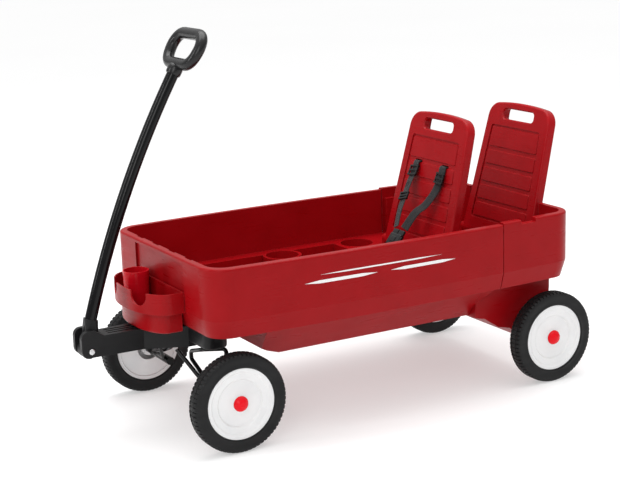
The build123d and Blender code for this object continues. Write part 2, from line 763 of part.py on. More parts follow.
rod_radius = brace_diameter / 2
rest_gap = 0.3
hanger_top = bolster_bottom - rod_radius - rest_gap
hanger_x = kingpin_x - 17
for side, name in ((-1, "left"), (1, "right")):
    hanger_points = [(kingpin_x - 3, side * (sleeve_end - 36), wheel_radius + 4),
                     (hanger_x, side * (stub_start + 13), wheel_radius + 27),
                     (hanger_x, side * 56, wheel_radius + 52),
                     (hanger_x, side * 56, wheel_radius + 71),
                     (hanger_x, side * (bolster_half_length - 35), hanger_top),
                     (kingpin_x + 24, side * (bolster_half_length - 12), hanger_top),
                     (kingpin_x + 4, side * (sleeve_end - 24), wheel_radius + 6)]
    brace_points = [(kingpin_x - 54, side * (web_half_width - 17), tongue_bottom - rod_radius - 1),
                    (hanger_x, side * (stub_start + 4), wheel_radius + 13),
                    (kingpin_x - 3, side * (sleeve_end - 38), wheel_radius + 3)]
    with BuildPart() as axle_frame:
        with BuildSketch(Plane.XZ.offset(-side * stub_start)):
            with Locations((kingpin_x, wheel_radius)):
                Circle(sleeve_diameter / 2)
        extrude(amount=-side * (sleeve_end - stub_start))
        add(rod(hanger_points, 9))
        add(rod(brace_points, 14))
        with BuildSketch(Plane.XZ.offset(-side * stub_start)):
            with Locations((kingpin_x, wheel_radius)):
                Circle(axle_diameter / 2)
        extrude(amount=-side * (sleeve_end - stub_start), mode=Mode.SUBTRACT)
    keep(f"axle_frame_{name}", axle_frame.part)

bolt_reach = ear_middle + ear_thickness / 2
with BuildPart() as clevis_bolt:
    with BuildSketch(Plane.XZ.offset(bolt_reach)):
        with Locations((pivot_x, pivot_height)):
            Circle(7)
    extrude(amount=4)
    fillet(clevis_bolt.edges().group_by(Axis.Y)[0], 2.5)
    with BuildSketch(Plane.XZ.offset(bolt_reach)):
        with Locations((pivot_x, pivot_height)):
            Circle(bolt_radius)
    extrude(amount=-(2 * bolt_reach + 8))
keep("clevis_bolt", clevis_bolt.part)

with BuildPart() as clevis_nut:
    with BuildSketch(Plane.XZ.offset(-bolt_reach)):
        with Locations((pivot_x, pivot_height)):
            RegularPolygon(8, 6)
            Circle(bolt_radius, mode=Mode.SUBTRACT)
    extrude(amount=-7)
keep("clevis_nut", clevis_nut.part)

# ---- handle: yoke in the clevis, bowed steel tube and loop grip ----
lean = radians(handle_lean_low)
up_low = Vector(sin(lean), 0, cos(lean))
pivot = Vector(pivot_x, 0, pivot_height)
yoke_half_width = ear_inner - yoke_clearance
tube_radius = handle_tube_diameter / 2
flare_start = 30.0
yoke_base = Plane(pivot, x_dir=(0, 1, 0), z_dir=up_low)
tube_start = pivot + up_low * handle_tube_start - Vector(tube_offset, 0, 0)
bow_angle = handle_lean_top - handle_lean_low
bow_radius = handle_tube_length / radians(bow_angle)
with BuildLine(Plane.XZ) as bow:
    JernArc((tube_start.X, tube_start.Z), (sin(lean), cos(lean)), bow_radius, -bow_angle)
tube_plane = Plane(bow.line @ 0, z_dir=bow.line % 0)
with BuildPart() as handle_tube:
    with BuildSketch(tube_plane):
        Circle(tube_radius)
        Circle(tube_radius - handle_tube_wall, mode=Mode.SUBTRACT)
    sweep(path=bow.line)
keep("handle_tube", handle_tube.part)

with BuildPart() as tube_space:
    with BuildSketch(tube_plane):
        Circle(tube_radius)
    sweep(path=bow.line)

with BuildPart() as handle_yoke:
    with BuildSketch(Plane.XZ):
        with Locations((pivot.X, pivot.Z)):
            Circle(yoke_barrel / 2)
    extrude(amount=yoke_half_width, both=True)
    with BuildSketch(yoke_base):
        Rectangle(2 * yoke_half_width, yoke_depth)
    extrude(amount=flare_start)
    with BuildSketch(yoke_base.offset(flare_start)) as flare_low:
        Rectangle(2 * yoke_half_width, yoke_depth)
        fillet(flare_low.vertices(), 4)
    with BuildSketch(Plane(tube_start + up_low * yoke_socket, x_dir=(0, 1, 0), z_dir=up_low)) as flare_high:
        Rectangle(handle_tube_diameter + 3, handle_tube_diameter + 5)
        fillet(flare_high.vertices(), 13)
    loft()
    add(tube_space.part, mode=Mode.SUBTRACT)
    with BuildSketch(Plane.XZ):
        with Locations((pivot.X, pivot.Z)):
            Circle(bolt_radius + running_clearance)
    extrude(amount=yoke_half_width, both=True, mode=Mode.SUBTRACT)
keep("handle_yoke", handle_yoke.part)

tube_end = bow.line @ 1
up_top = bow.line % 1
grip_plane = Plane(tube_end, x_dir=(0, 1, 0), z_dir=Vector(0, 1, 0).cross(up_top))
grip_low = -4.0                # outer edge of the bottom bar, below the tube's end


def grip_loop(inset):
    """Outline of the grip's loop: a wide top bar, and sides that close in towards the tube."""
    low, high = grip_low + inset, grip_low + grip_height - inset
    narrow, wide = grip_width / 2 - grip_taper - inset, grip_width / 2 - inset
    with BuildLine() as outline:
        Polyline((-narrow, low), (narrow, low), (wide, high), (-wide, high), close=True)
    make_face(outline.edges())
    fillet(vertices(), grip_corner - inset * 0.7)


with BuildPart() as handle_grip:
    with BuildSketch(grip_plane.offset(-grip_thickness / 2)):
        grip_loop(0)
    extrude(amount=grip_thickness)
    with BuildSketch(grip_plane.offset(-grip_thickness / 2)):
        grip_loop(grip_bar)
    extrude(amount=grip_thickness, mode=Mode.SUBTRACT)
    across = Axis(grip_plane.origin, grip_plane.z_dir)
    fillet(handle_grip.faces().sort_by(across)[0].edges(), grip_round)
    fillet(handle_grip.faces().sort_by(across)[-1].edges(), grip_round)
    with BuildSketch(Plane(tube_end - up_top * grip_socket, z_dir=up_top)):
        Circle(tube_radius + 2.5)
    extrude(amount=grip_socket + 6)
    add(tube_space.part, mode=Mode.SUBTRACT)
keep("handle_grip", handle_grip.part)


# ---- seat backs: hollow panels on hinge pins ----
def seat_plane(hinge_x):
    """Middle plane of a seat back: x towards the wagon's left, y up the panel, z to the front."""
    lean_angle = radians(seat_lean)
    return Plane((hinge_x, 0, seat_pivot_height), x_dir=(0, -1, 0),
                 z_dir=(-cos(lean_angle), 0, sin(lean_angle)))


pin_bore = seat_pin_diameter / 2 + running_clearance
slot_middle = seat_length - slot_bar - slot_height / 2
slot_y = strap_spacing / 2
strap_slot = (webbing_width + 5, 7)


def half_seat(up):
    """Half width of a seat back at a height up its face."""
    return (seat_width - (seat_width - seat_top_width) * up / seat_length) / 2


def seat_band(low, high, inset, corner):
    """Part of a seat back's face between two heights, inset from its sides."""
    with BuildLine() as outline:
        Polyline((inset - half_seat(low), low), (half_seat(low) - inset, low),
                 (half_seat(high) - inset, high), (inset - half_seat(high), high), close=True)
    make_face(outline.edges())
    if corner:
        fillet(vertices(Select.LAST), corner)


def panel_cells():
    """Lower and upper edge of each raised cell on a seat back, from the top one down."""
    room = panel_top - panel_bottom - groove_width * cell_count
    plain = room / (cell_count - 1 + top_cell_share)
    edges, high = [], panel_top - groove_width / 2
    for number in range(cell_count):
        tall = plain * (top_cell_share if number == 0 else 1)
        edges.append((high - tall, high))
        high -= tall + groove_width
    return edges


def seat_back(hinge_x, strapped):
    """Folding seat back with a hand slot, raised cells and, if strapped, two belt slots."""
    middle = seat_plane(hinge_x)
    half = seat_width / 2
    top_corner = seat_length - seat_crown
    with BuildPart() as back:
        with BuildSketch(middle.offset(-seat_thickness / 2)) as face:
            with BuildLine() as outline:
                Line((-half, 0), (half, 0))
                Line((half, 0), (half_seat(top_corner), top_corner))
                ThreePointArc((half_seat(top_corner), top_corner), (0, seat_length),
                              (-half_seat(top_corner), top_corner))
                Line((-half_seat(top_corner), top_corner), (-half, 0))
            make_face(outline.edges())
            fillet(face.vertices().sort_by(Axis.Y)[-2:], seat_corner_radius)
        extrude(amount=seat_thickness)
        rims = [edge for edge in back.edges() if edge.geom_type != GeomType.LINE]
        fillet(rims, seat_edge_radius)
        with BuildSketch(Plane.XZ):
            with Locations((hinge_x, seat_pivot_height)):
                Circle(seat_thickness / 2)
        extrude(amount=half, both=True)
        with BuildSketch(middle.offset(-seat_thickness / 2)):
            with Locations((0, slot_middle)):
                RectangleRounded(slot_width, slot_height, slot_height / 2 - 2)
        extrude(amount=seat_thickness, mode=Mode.SUBTRACT)
        with BuildSketch(middle.offset(-seat_thickness / 2)):
            with Locations((0, slot_middle)):
                RectangleRounded(slot_width + slot_lip, slot_height + slot_lip, slot_height / 2)
        extrude(amount=slot_lip_depth, mode=Mode.SUBTRACT)
        with BuildSketch(middle.offset(seat_thickness / 2)):
            with Locations((0, slot_middle)):
                RectangleRounded(slot_width + 2 * slot_bevel, slot_height + 2 * slot_bevel,
                                 slot_height / 2 - 2 + slot_bevel)
        extrude(amount=-slot_bevel, taper=45, mode=Mode.SUBTRACT)
        cavity_top = slot_middle - (slot_height + slot_lip) / 2 - seat_skin
        with BuildSketch(middle.offset(-seat_thickness / 2 + seat_skin)):
            seat_band(seat_thickness, cavity_top, seat_skin + 2, 0)
        extrude(amount=seat_thickness - 2 * seat_skin - groove_depth, mode=Mode.SUBTRACT)
        with BuildSketch(middle.offset(seat_thickness / 2)):
            seat_band(panel_bottom, panel_top, panel_margin, 8)
        extrude(amount=-groove_depth, mode=Mode.SUBTRACT)
        with BuildSketch(middle.offset(seat_thickness / 2 - groove_depth)):
            for low, high in panel_cells():
                seat_band(low, high, panel_margin + groove_width / 2, 4)
        extrude(amount=groove_depth - panel_depth, taper=30)
        with BuildSketch(middle.offset(-seat_thickness / 2)):
            with Locations((0, seat_thickness / 2 + 14)):
                SlotOverall(seat_width - 2 * seat_skin - 30, 6)
            if strapped:
                with Locations((-slot_y, strap_top + 2), (slot_y, strap_top + 2)):
                    Rectangle(*strap_slot)
        extrude(amount=seat_skin, mode=Mode.SUBTRACT)
        if strapped:
            with BuildSketch(middle.offset(seat_thickness / 2)):
                with Locations((-slot_y, strap_top + 2), (slot_y, strap_top + 2)):
                    Rectangle(*strap_slot)
            extrude(amount=-seat_skin - groove_depth, mode=Mode.SUBTRACT)
        with BuildSketch(Plane.XZ):
            with Locations((hinge_x, seat_pivot_height)):
                Circle(pin_bore)
        extrude(amount=half, both=True, mode=Mode.SUBTRACT)
    return back.part


for end, hinge_x in (("front", front_pivot_x), ("rear", rear_pivot_x)):
    keep(f"{end}_seat_back", seat_back(hinge_x, end == "front"))
    with BuildPart() as pin:
        with BuildSketch(Plane.XZ):
            with Locations((hinge_x, seat_pivot_height)):
                Circle(seat_pin_diameter / 2)
        extrude(amount=lug_start + lug_thickness + 2, both=True)
    keep(f"{end}_seat_pin", pin.part)

# ---- harness on the front seat back ----
panel_face = seat_plane(front_pivot_x).offset(panel_step)
hook = 4.0
for side, name in ((1, "left"), (-1, "right")):
    with BuildPart() as strap:
        with BuildSketch(panel_face.offset(webbing_clearance)):
            with Locations((side * slot_y, (strap_top + strap_bottom) / 2)):
                Rectangle(webbing_width, strap_top - strap_bottom)
        extrude(amount=webbing_thickness)
        with BuildSketch(panel_face.offset(-hook)):
            with Locations((side * slot_y, strap_top - webbing_thickness / 2 + 1)):
                Rectangle(webbing_width, webbing_thickness)
        extrude(amount=hook + webbing_clearance + webbing_thickness)
    keep(f"shoulder_strap_{name}", strap.part)

slider_offset = webbing_clearance + webbing_thickness + 0.2
with BuildPart() as strap_adjusters:
    with BuildSketch(panel_face.offset(slider_offset)):
        for side in (-1, 1):
            with Locations((side * slot_y, strap_top - 28)):
                RectangleRounded(webbing_width + 8, 24, 3)
    extrude(amount=5)
keep("strap_adjusters", strap_adjusters.part)

with BuildPart() as strap_slider:
    with BuildSketch(panel_face.offset(slider_offset)):
        with Locations((-slot_y, strap_top - 92)):
            RectangleRounded(webbing_width + 6, 20, 3)
    extrude(amount=4)
keep("strap_slider", strap_slider.part)

buckle_depth = 11.0
with BuildPart() as harness_buckle:
    with BuildSketch(panel_face.offset(webbing_clearance)):
        with Locations((0, buckle_height + 18)):
            RectangleRounded(52, 40, 8)
    extrude(amount=buckle_depth)
    outward = Axis(panel_face.origin, panel_face.z_dir)
    fillet(harness_buckle.faces().sort_by(outward)[-1].edges(), 3)
keep("harness_buckle", harness_buckle.part)

box = Compound(children=list(pieces.values())).bounding_box()
print("box", box.min, box.max, "front_x", front_x, "grip", tube_end)
print("pivots", kingpin_x, rear_axle_x, pivot_x, front_pivot_x, rear_pivot_x, seat_pivot_height, cup_x)
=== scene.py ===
import math
import bmesh
import bpy
from mathutils import Matrix, Vector


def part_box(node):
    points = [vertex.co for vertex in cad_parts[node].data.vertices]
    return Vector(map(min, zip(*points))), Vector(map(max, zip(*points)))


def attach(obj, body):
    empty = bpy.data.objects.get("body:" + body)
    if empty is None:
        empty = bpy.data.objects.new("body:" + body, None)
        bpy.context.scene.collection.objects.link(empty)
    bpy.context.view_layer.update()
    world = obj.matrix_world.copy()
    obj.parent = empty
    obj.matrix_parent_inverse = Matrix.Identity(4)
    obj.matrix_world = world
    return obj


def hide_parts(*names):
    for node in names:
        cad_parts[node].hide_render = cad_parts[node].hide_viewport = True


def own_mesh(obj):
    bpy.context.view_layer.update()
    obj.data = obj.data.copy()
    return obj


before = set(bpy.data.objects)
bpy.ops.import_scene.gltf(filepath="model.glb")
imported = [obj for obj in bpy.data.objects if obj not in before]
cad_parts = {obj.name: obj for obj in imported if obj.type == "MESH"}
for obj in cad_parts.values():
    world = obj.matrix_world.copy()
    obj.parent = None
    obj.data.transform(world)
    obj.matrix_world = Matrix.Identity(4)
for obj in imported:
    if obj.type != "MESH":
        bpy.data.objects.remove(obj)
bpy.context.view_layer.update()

# ---- Viewpoint ----
# A long lens, a little above the rim, looking down at the wagon's left side and front.
# The camera is turned, tipped and rolled by the angles below; colours go out as they are.
view_turn, view_down, view_roll = math.radians(-29.23), math.radians(13.46), math.radians(-1.76)
camera_spot, lens_length, farthest_seen = (-1.7627, -3.1031, 1.2211), 86.72, 60
back = Vector((math.sin(view_turn) * math.cos(view_down),
               -math.cos(view_turn) * math.cos(view_down), math.sin(view_down)))
level = (-back).cross(Vector((0, 0, 1))).normalized()
upward = level.cross(-back)
side = level * math.cos(view_roll) + upward * math.sin(view_roll)
top = upward * math.cos(view_roll) - level * math.sin(view_roll)
camera_data = bpy.data.cameras.new("view")
camera_data.lens = lens_length
camera_data.clip_end = farthest_seen
camera = bpy.data.objects.new("view", camera_data)
camera.matrix_world = Matrix.Translation(camera_spot) @ Matrix(
    (side, top, back)).transposed().to_4x4()
bpy.context.scene.collection.objects.link(camera)
bpy.context.scene.camera = camera
bpy.context.scene.view_settings.view_transform = "Standard"
bpy.context.scene.view_settings.look = "None"


# ---- Studio ----
# Plain white paper that runs far behind the wagon, under a white tent brighter overhead than at its
# sides, with soft boxes for the highlights.
def new_group(name, inputs, outputs):
    """Shader node group with named sockets: inputs as (name, kind, value), outputs as (name, kind)."""
    group = bpy.data.node_groups.new(name, "ShaderNodeTree")
    for label, kind, value in inputs:
        socket = group.interface.new_socket(label, in_out="INPUT", socket_type="NodeSocket" + kind)
        socket.default_value = value
    for label, kind in outputs:
        group.interface.new_socket(label, in_out="OUTPUT", socket_type="NodeSocket" + kind)
    return group


def put(tree, kind, links=None, **settings):
    """Add a node, set its attributes and link or set its inputs by name or index."""
    node = tree.nodes.new("ShaderNode" + kind if not kind.startswith("NodeGroup") else kind)
    for key, value in settings.items():
        setattr(node, key, value)
    for key, value in (links or {}).items():
        if isinstance(value, bpy.types.NodeSocket):
            tree.links.new(value, node.inputs[key])
        else:
            node.inputs[key].default_value = value
    return node


def finish_material(name):
    """Material with only a Principled shader in it; gives the material, its tree and the shader."""
    made = bpy.data.materials.new(name)
    made.use_nodes = True
    return made, made.node_tree, made.node_tree.nodes["Principled BSDF"]


paper, tree, shader = finish_material("studio_paper")
place = put(tree, "TexCoord").outputs["Object"]
cloud = put(tree, "TexNoise", {"Vector": place, "Scale": 0.7, "Detail": 2.0}).outputs["Fac"]
tint = put(tree, "ValToRGB", {"Fac": cloud})
tint.color_ramp.elements[0].color = (0.60, 0.60, 0.60, 1)
tint.color_ramp.elements[1].color = (0.63, 0.63, 0.63, 1)
tree.links.new(tint.outputs["Color"], shader.inputs["Base Color"])
shader.inputs["Roughness"].default_value = 0.9
shader.inputs["Emission Color"].default_value = (1, 1, 1, 1)
shader.inputs["Emission Strength"].default_value = 0.42
floor_reach, floor_cells = 40.0, 8
sheet = bmesh.new()
bmesh.ops.create_grid(sheet, x_segments=floor_cells, y_segments=floor_cells, size=floor_reach)
floor_mesh = bpy.data.meshes.new("studio_floor")
sheet.to_mesh(floor_mesh)
sheet.free()
floor = bpy.data.objects.new("studio_floor", floor_mesh)
floor.data.materials.append(paper)
bpy.context.scene.collection.objects.link(floor)

world = bpy.data.worlds.new("sky")
world.use_nodes = True
tent = world.node_tree
rise = put(tent, "SeparateXYZ", {0: put(tent, "TexCoord").outputs["Generated"]}).outputs["Z"]
tent_glow = put(tent, "MapRange", {"Value": rise, "From Min": 0.0, "From Max": 1.0,
                                   "To Min": 0.36, "To Max": 1.15})
tent.nodes["Background"].inputs["Color"].default_value = (1, 1, 1, 1)
tent.links.new(tent_glow.outputs["Result"], tent.nodes["Background"].inputs["Strength"])
bpy.context.scene.world = world


def soft_box(name, spot, aim, size, power):
    """Rectangular soft light turned towards a point, with its size in metres and power in watts."""
    data = bpy.data.lights.new(name, "AREA")
    data.shape = "RECTANGLE"
    data.size, data.size_y = size
    data.energy = power
    lamp = bpy.data.objects.new(name, data)
    lamp.location = spot
    lamp.rotation_euler = (Vector(aim) - Vector(spot)).to_track_quat("-Z", "Y").to_euler()
    bpy.context.scene.collection.objects.link(lamp)


wagon_middle, wagon_front = (0, 0, 0.3), (-0.3, 0, 0.4)
soft_box("overhead", (0.2, 0.4, 3.4), wagon_middle, (3.6, 2.4), 92)
soft_box("left_front", (-3.0, -3.4, 2.6), wagon_middle, (1.4, 2.4), 42)
soft_box("front_strip", (-3.6, 0.6, 1.9), wagon_front, (0.35, 2.0), 24)


# ---- Bed, tub, rear box, housing and tray ----
# Rotationally moulded red polyethylene: satin, faintly mottled, with a fine orange-peel skin,
# and paler along its edges, partly from rubbed wear and partly as a painted highlight. The pieces are
# screwed together and keep their own shapes.
def surface_grain():
    """Fine skin of a moulding: relief, tone that drifts over the surface, and gloss that varies."""
    group = new_group("moulding_skin", [("Grain Scale", "Float", 900.0), ("Mottle Scale", "Float", 14.0)],
                      [("Relief", "Float"), ("Mottle", "Float"), ("Smear", "Float")])
    enter, leave = put(group, "NodeGroupInput"), put(group, "NodeGroupOutput")
    where = put(group, "TexCoord").outputs["Object"]
    peel = put(group, "TexNoise", {"Vector": where, "Scale": enter.outputs["Grain Scale"],
                                   "Detail": 3.0, "Roughness": 0.6}).outputs["Fac"]
    wave = put(group, "TexNoise", {"Vector": where, "Scale": enter.outputs["Mottle Scale"],
                                   "Detail": 5.0, "Roughness": 0.55}).outputs["Fac"]
    warp = put(group, "Mapping", {"Vector": where, "Scale": (6.0, 6.0, 40.0)}).outputs["Vector"]
    wiped = put(group, "TexNoise", {"Vector": warp, "Scale": 2.0, "Detail": 2.0}).outputs["Fac"]
    group.links.new(peel, leave.inputs["Relief"])
    group.links.new(wave, leave.inputs["Mottle"])
    group.links.new(wiped, leave.inputs["Smear"])
    return group


def edge_mask():
    """Mask that is 1 on rounded and sharp edges and 0 on flats, broken up by noise: it places both rubbed
    wear and a painted edge highlight.
    """
    group = new_group("edge_wear_and_highlight", [("Width", "Float", 0.003), ("Break Scale", "Float", 60.0)],
                      [("Mask", "Float")])
    enter, leave = put(group, "NodeGroupInput"), put(group, "NodeGroupOutput")
    bevel = put(group, "Bevel", {"Radius": enter.outputs["Width"]}, samples=4)
    flat = put(group, "NewGeometry").outputs["Normal"]
    dot = put(group, "VectorMath", {0: bevel.outputs["Normal"], 1: flat}, operation="DOT_PRODUCT")
    turned = put(group, "Math", {0: 1.0, 1: dot.outputs["Value"]}, operation="SUBTRACT")
    sharp = put(group, "Math", {0: turned.outputs[0], 1: edge_gain}, operation="MULTIPLY",
                use_clamp=True)
    where = put(group, "TexCoord").outputs["Object"]
    patch = put(group, "TexNoise", {"Vector": where, "Scale": enter.outputs["Break Scale"],
                                    "Detail": 4.0}).outputs["Fac"]
    broken = put(group, "MapRange", {"Value": patch, "From Min": 0.35, "From Max": 0.65})
    mask = put(group, "Math", {0: sharp.outputs[0], 1: broken.outputs["Result"]}, operation="MULTIPLY")
    group.links.new(mask.outputs[0], leave.inputs["Mask"])
    return group


edge_gain = 5.0      # how soon a turning surface counts as an edge
wear_and_highlight_share = 0.45    # how far an edge goes towards its paler colour: rubbed wear and a painted highlight
skin_group = surface_grain()
wear_and_highlight_group = edge_mask()


def moulded(name, deep, pale, wear_and_highlight_colour, gloss, relief=0.0004, grain=900.0, coat=0.0, shine=0.14):
    """Material of a moulding: two tones it drifts between, its paler edges (rubbed wear and a painted
    highlight) and its roughness range.
    """
    made, tree, shader = finish_material(name)
    skin = put(tree, "Group", node_tree=skin_group)
    skin.inputs["Grain Scale"].default_value = grain
    wear_and_highlight_node = put(tree, "Group", node_tree=wear_and_highlight_group)
    tone = put(tree, "ValToRGB", {"Fac": skin.outputs["Mottle"]})
    tone.color_ramp.elements[0].position = 0.3
    tone.color_ramp.elements[1].position = 0.7
    tone.color_ramp.elements[0].color = (*deep, 1)
    tone.color_ramp.elements[1].color = (*pale, 1)
    # Edges are mixed towards a paler colour that is partly rubbed wear and partly a painted highlight.
    soft_wear_and_highlight = put(tree, "Math", {0: wear_and_highlight_node.outputs["Mask"], 1: wear_and_highlight_share}, operation="MULTIPLY")
    colour = put(tree, "Mix", {"Factor": soft_wear_and_highlight.outputs[0], "A": tone.outputs["Color"],
                               "B": (*wear_and_highlight_colour, 1)}, data_type="RGBA")
    tree.links.new(colour.outputs["Result"], shader.inputs["Base Color"])
    rough = put(tree, "MapRange", {"Value": skin.outputs["Smear"], "From Min": 0.3, "From Max": 0.7,
                                   "To Min": gloss[0], "To Max": gloss[1]})
    tree.links.new(rough.outputs["Result"], shader.inputs["Roughness"])
    bump = put(tree, "Bump", {"Strength": 0.35, "Distance": relief, "Height": skin.outputs["Relief"]})
    tree.links.new(bump.outputs["Normal"], shader.inputs["Normal"])
    shader.inputs["Specular IOR Level"].default_value = shine
    shader.inputs["Coat Weight"].default_value = coat
    shader.inputs["Coat Roughness"].default_value = 0.25
    return made


def finish_nodes(material, *nodes):
    """Give CAD nodes a material."""
    for name in nodes:
        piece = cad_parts[name]
        piece.data.materials.clear()
        piece.data.materials.append(material)


# The bed's paler edge colour is also a painted highlight: the pinkish highlight along the rim top.
body_red = moulded("body_red", (0.275, 0.0020, 0.0040), (0.310, 0.0028, 0.0055), (0.46, 0.05, 0.05),
                   (0.26, 0.38), shine=0.12)
finish_nodes(body_red, "bed_shell", "rear_box", "bed_tub", "rear_housing", "front_tray")

# ---- Seat backs ----
# Blow-moulded red panels with a hand slot and shallow ribs across the front, satin like the bed
# but drawn from a finer mould, so their grain is tighter.
seat_red = moulded("seat_red", (0.295, 0.0022, 0.0048), (0.335, 0.0032, 0.0065), (0.48, 0.055, 0.055),
                   (0.25, 0.36), relief=0.0003, grain=1400.0, shine=0.13)
finish_nodes(seat_red, "front_seat_back", "rear_seat_back")

# ---- Cup ----
# Thin injection-moulded cup in a brighter, glossier red than the bed.
# It stands loose in a ring on the tray's floor and lifts out.
cup_red = moulded("cup_red", (0.47, 0.003, 0.009), (0.55, 0.004, 0.013), (0.66, 0.08, 0.08),
                  (0.2, 0.28), coat=0.12, shine=0.1)
finish_nodes(cup_red, "cup")

# ---- Steering truck and yoke ----
# Glass-filled black nylon, finely grained, with scuffed edges. The tongue turns on a kingpin and
# the yoke on a clevis bolt; the wheel bushings are of the same stuff.
moulded_black = moulded("moulded_black", (0.0065, 0.0065, 0.007), (0.010, 0.010, 0.0105),
                        (0.045, 0.045, 0.047), (0.34, 0.48), relief=0.0006, grain=700.0, shine=0.22)
finish_nodes(moulded_black, "tongue", "handle_yoke",
             *[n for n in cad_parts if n.endswith("bushing")])

# ---- Pull grip ----
# Glossy black nylon loop moulded over the top of the tube: round bars, wide at the top, with a
# collar that swells round the tube's end.
def link_mesh(name, work, material, sharp=35.0):
    """Object made from a bmesh, smooth except across edges sharper than an angle in degrees."""
    bmesh.ops.recalc_face_normals(work, faces=work.faces)
    for face in work.faces:
        face.smooth = True
    mesh = bpy.data.meshes.new(name)
    work.to_mesh(mesh)
    work.free()
    mesh.set_sharp_from_angle(angle=math.radians(sharp))
    mesh.materials.append(material)
    made = bpy.data.objects.new(name, mesh)
    bpy.context.scene.collection.objects.link(made)
    return made


grip_black = moulded("grip_black", (0.006, 0.006, 0.0065), (0.009, 0.009, 0.0095),
                     (0.04, 0.04, 0.04), (0.2, 0.3), relief=0.0003, grain=800.0, coat=0.2, shine=0.25)
tube_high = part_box("handle_tube")[1]
grip_lean, tube_reach = math.radians(31.0), 0.014
grip_up = Vector((math.sin(grip_lean), 0, math.cos(grip_lean)))
grip_root = Vector((tube_high[0] - tube_reach * math.cos(grip_lean), 0,
                    tube_high[2] - tube_reach * math.sin(grip_lean)))
bar, bar_depth, bar_sides = 0.0138, 0.95, 20             # radius, depth against width, facets
loop_low, loop_high = 0.010, 0.085                       # middles of the bars, up from the tube
loop_narrow, loop_wide, loop_turn = 0.064, 0.080, 0.034  # half widths below and above, and corners
corner_steps = 10
corners = [(-loop_narrow, loop_low), (loop_narrow, loop_low), (loop_wide, loop_high),
           (-loop_wide, loop_high)]
loop_path = []
for i, corner in enumerate(corners):
    here = Vector((corner[0], corner[1], 0))
    before = Vector((*corners[i - 1], 0)) - here
    after = Vector((*corners[(i + 1) % len(corners)], 0)) - here
    half_angle = before.angle(after) / 2
    inward = (before.normalized() + after.normalized()).normalized()
    middle = here + inward * loop_turn / math.sin(half_angle)
    first = here + before.normalized() * loop_turn / math.tan(half_angle) - middle
    turned = math.pi - 2 * half_angle
    loop_path += [middle + Matrix.Rotation(turned * step / corner_steps, 3, "Z") @ first
                  for step in range(corner_steps + 1)]
grip_across, grip_out = Vector((0, 1, 0)), Vector((0, 1, 0)).cross(grip_up)


def close_rings(work, rings):
    """Faces between rings of vertices, each ring closed and the last joined to the first."""
    for ring, following in zip(rings, rings[1:] + rings[:1]):
        for j in range(len(ring)):
            k = (j + 1) % len(ring)
            work.faces.new((ring[j], ring[k], following[k], following[j]))


work = bmesh.new()
rings = []
for i, spot in enumerate(loop_path):
    run = (loop_path[(i + 1) % len(loop_path)] - loop_path[i - 1]).normalized()
    beside = Vector((run.y, -run.x, 0))
    ring = []
    for step in range(bar_sides):
        angle = 2 * math.pi * step / bar_sides
        flat = spot + beside * bar * math.cos(angle)
        ring.append(work.verts.new(grip_root + grip_across * flat.x + grip_up * flat.y
                                   + grip_out * bar_depth * bar * math.sin(angle)))
    rings.append(ring)
close_rings(work, rings)
collar = [(0.0142, -0.018), (0.0165, -0.0175), (0.0176, -0.014), (0.0178, -0.004), (0.0168, 0.004),
          (0.0142, 0.006)]                               # radius and height from the tube's end
collar_sides = 32
rings = []
for step in range(collar_sides):
    angle = 2 * math.pi * step / collar_sides
    rings.append([work.verts.new(grip_root + grip_up * rise + (grip_across * math.cos(angle)
                                 + grip_out * math.sin(angle)) * reach) for reach, rise in collar])
close_rings(work, rings)
grip = link_mesh("loop_grip", work, grip_black, 50.0)
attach(grip, "handle")
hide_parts("handle_grip")

# ---- Steel tube and rods ----
# Bowed tube, bent rods, sleeves and stub axles: steel with a thick glossy black powder coat that
# runs smooth over the welds.
black_steel = moulded("black_steel", (0.003, 0.003, 0.0035), (0.005, 0.005, 0.0055),
                      (0.02, 0.02, 0.02), (0.10, 0.15), relief=0.0001, grain=300.0, shine=0.2)
finish_nodes(black_steel, "handle_tube", "rear_axle_spacers", "front_stub_axles",
             "axle_frame_left", "axle_frame_right")

# ---- Fasteners and axles ----
# Bright zinc-plated steel, brushed by handling: the clevis bolt, kingpin, rear axle, seat pins
# and screws, with their nuts and the bearing plate.
zinc = moulded("zinc", (0.5, 0.5, 0.51), (0.7, 0.7, 0.71), (0.85, 0.85, 0.85), (0.22, 0.38),
               shine=0.5)
zinc.node_tree.nodes["Principled BSDF"].inputs["Metallic"].default_value = 1.0
finish_nodes(zinc, "clevis_bolt", "clevis_nut", "kingpin", "kingpin_nut", "bearing_plate",
             "rear_axle", "front_seat_pin", "rear_seat_pin", "floor_screws",
             "tray_screws")

# ---- Wheel discs and caps ----
# White injection-moulded discs with a raised rim and a shallow dish, and glossy red caps that
# are pushed over the axle ends.
disc_white = moulded("disc_white", (0.74, 0.745, 0.75), (0.82, 0.82, 0.82), (0.9, 0.9, 0.9),
                     (0.3, 0.42), shine=0.3)
finish_nodes(disc_white, *[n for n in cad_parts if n.endswith("disc")])
cap_red = moulded("cap_red", (0.70, 0.002, 0.008), (0.78, 0.003, 0.012), (0.85, 0.10, 0.10),
                  (0.2, 0.28), coat=0.15, shine=0.1)
finish_nodes(cap_red, "front_hub_caps", "rear_hub_caps")

# ---- Tyres ----
# Moulded rubber rings pressed over the discs: smooth sidewalls with a raised bead, and a tread cut
# by cross slots into shoulder lugs, with a groove running round each side of its middle band.
rubber = moulded("tyre_rubber", (0.0065, 0.0065, 0.007), (0.011, 0.011, 0.0115), (0.028, 0.028, 0.028),
                 (0.42, 0.6), relief=0.0006, grain=500.0, shine=0.22)
lug_count, lug_edge = 66, 28.0
# Stations round one lug: share of its pitch, and how far the slot is cut there.
lug_stations = ((0.0, 0), (0.60, 0), (0.68, 1), (0.92, 1))
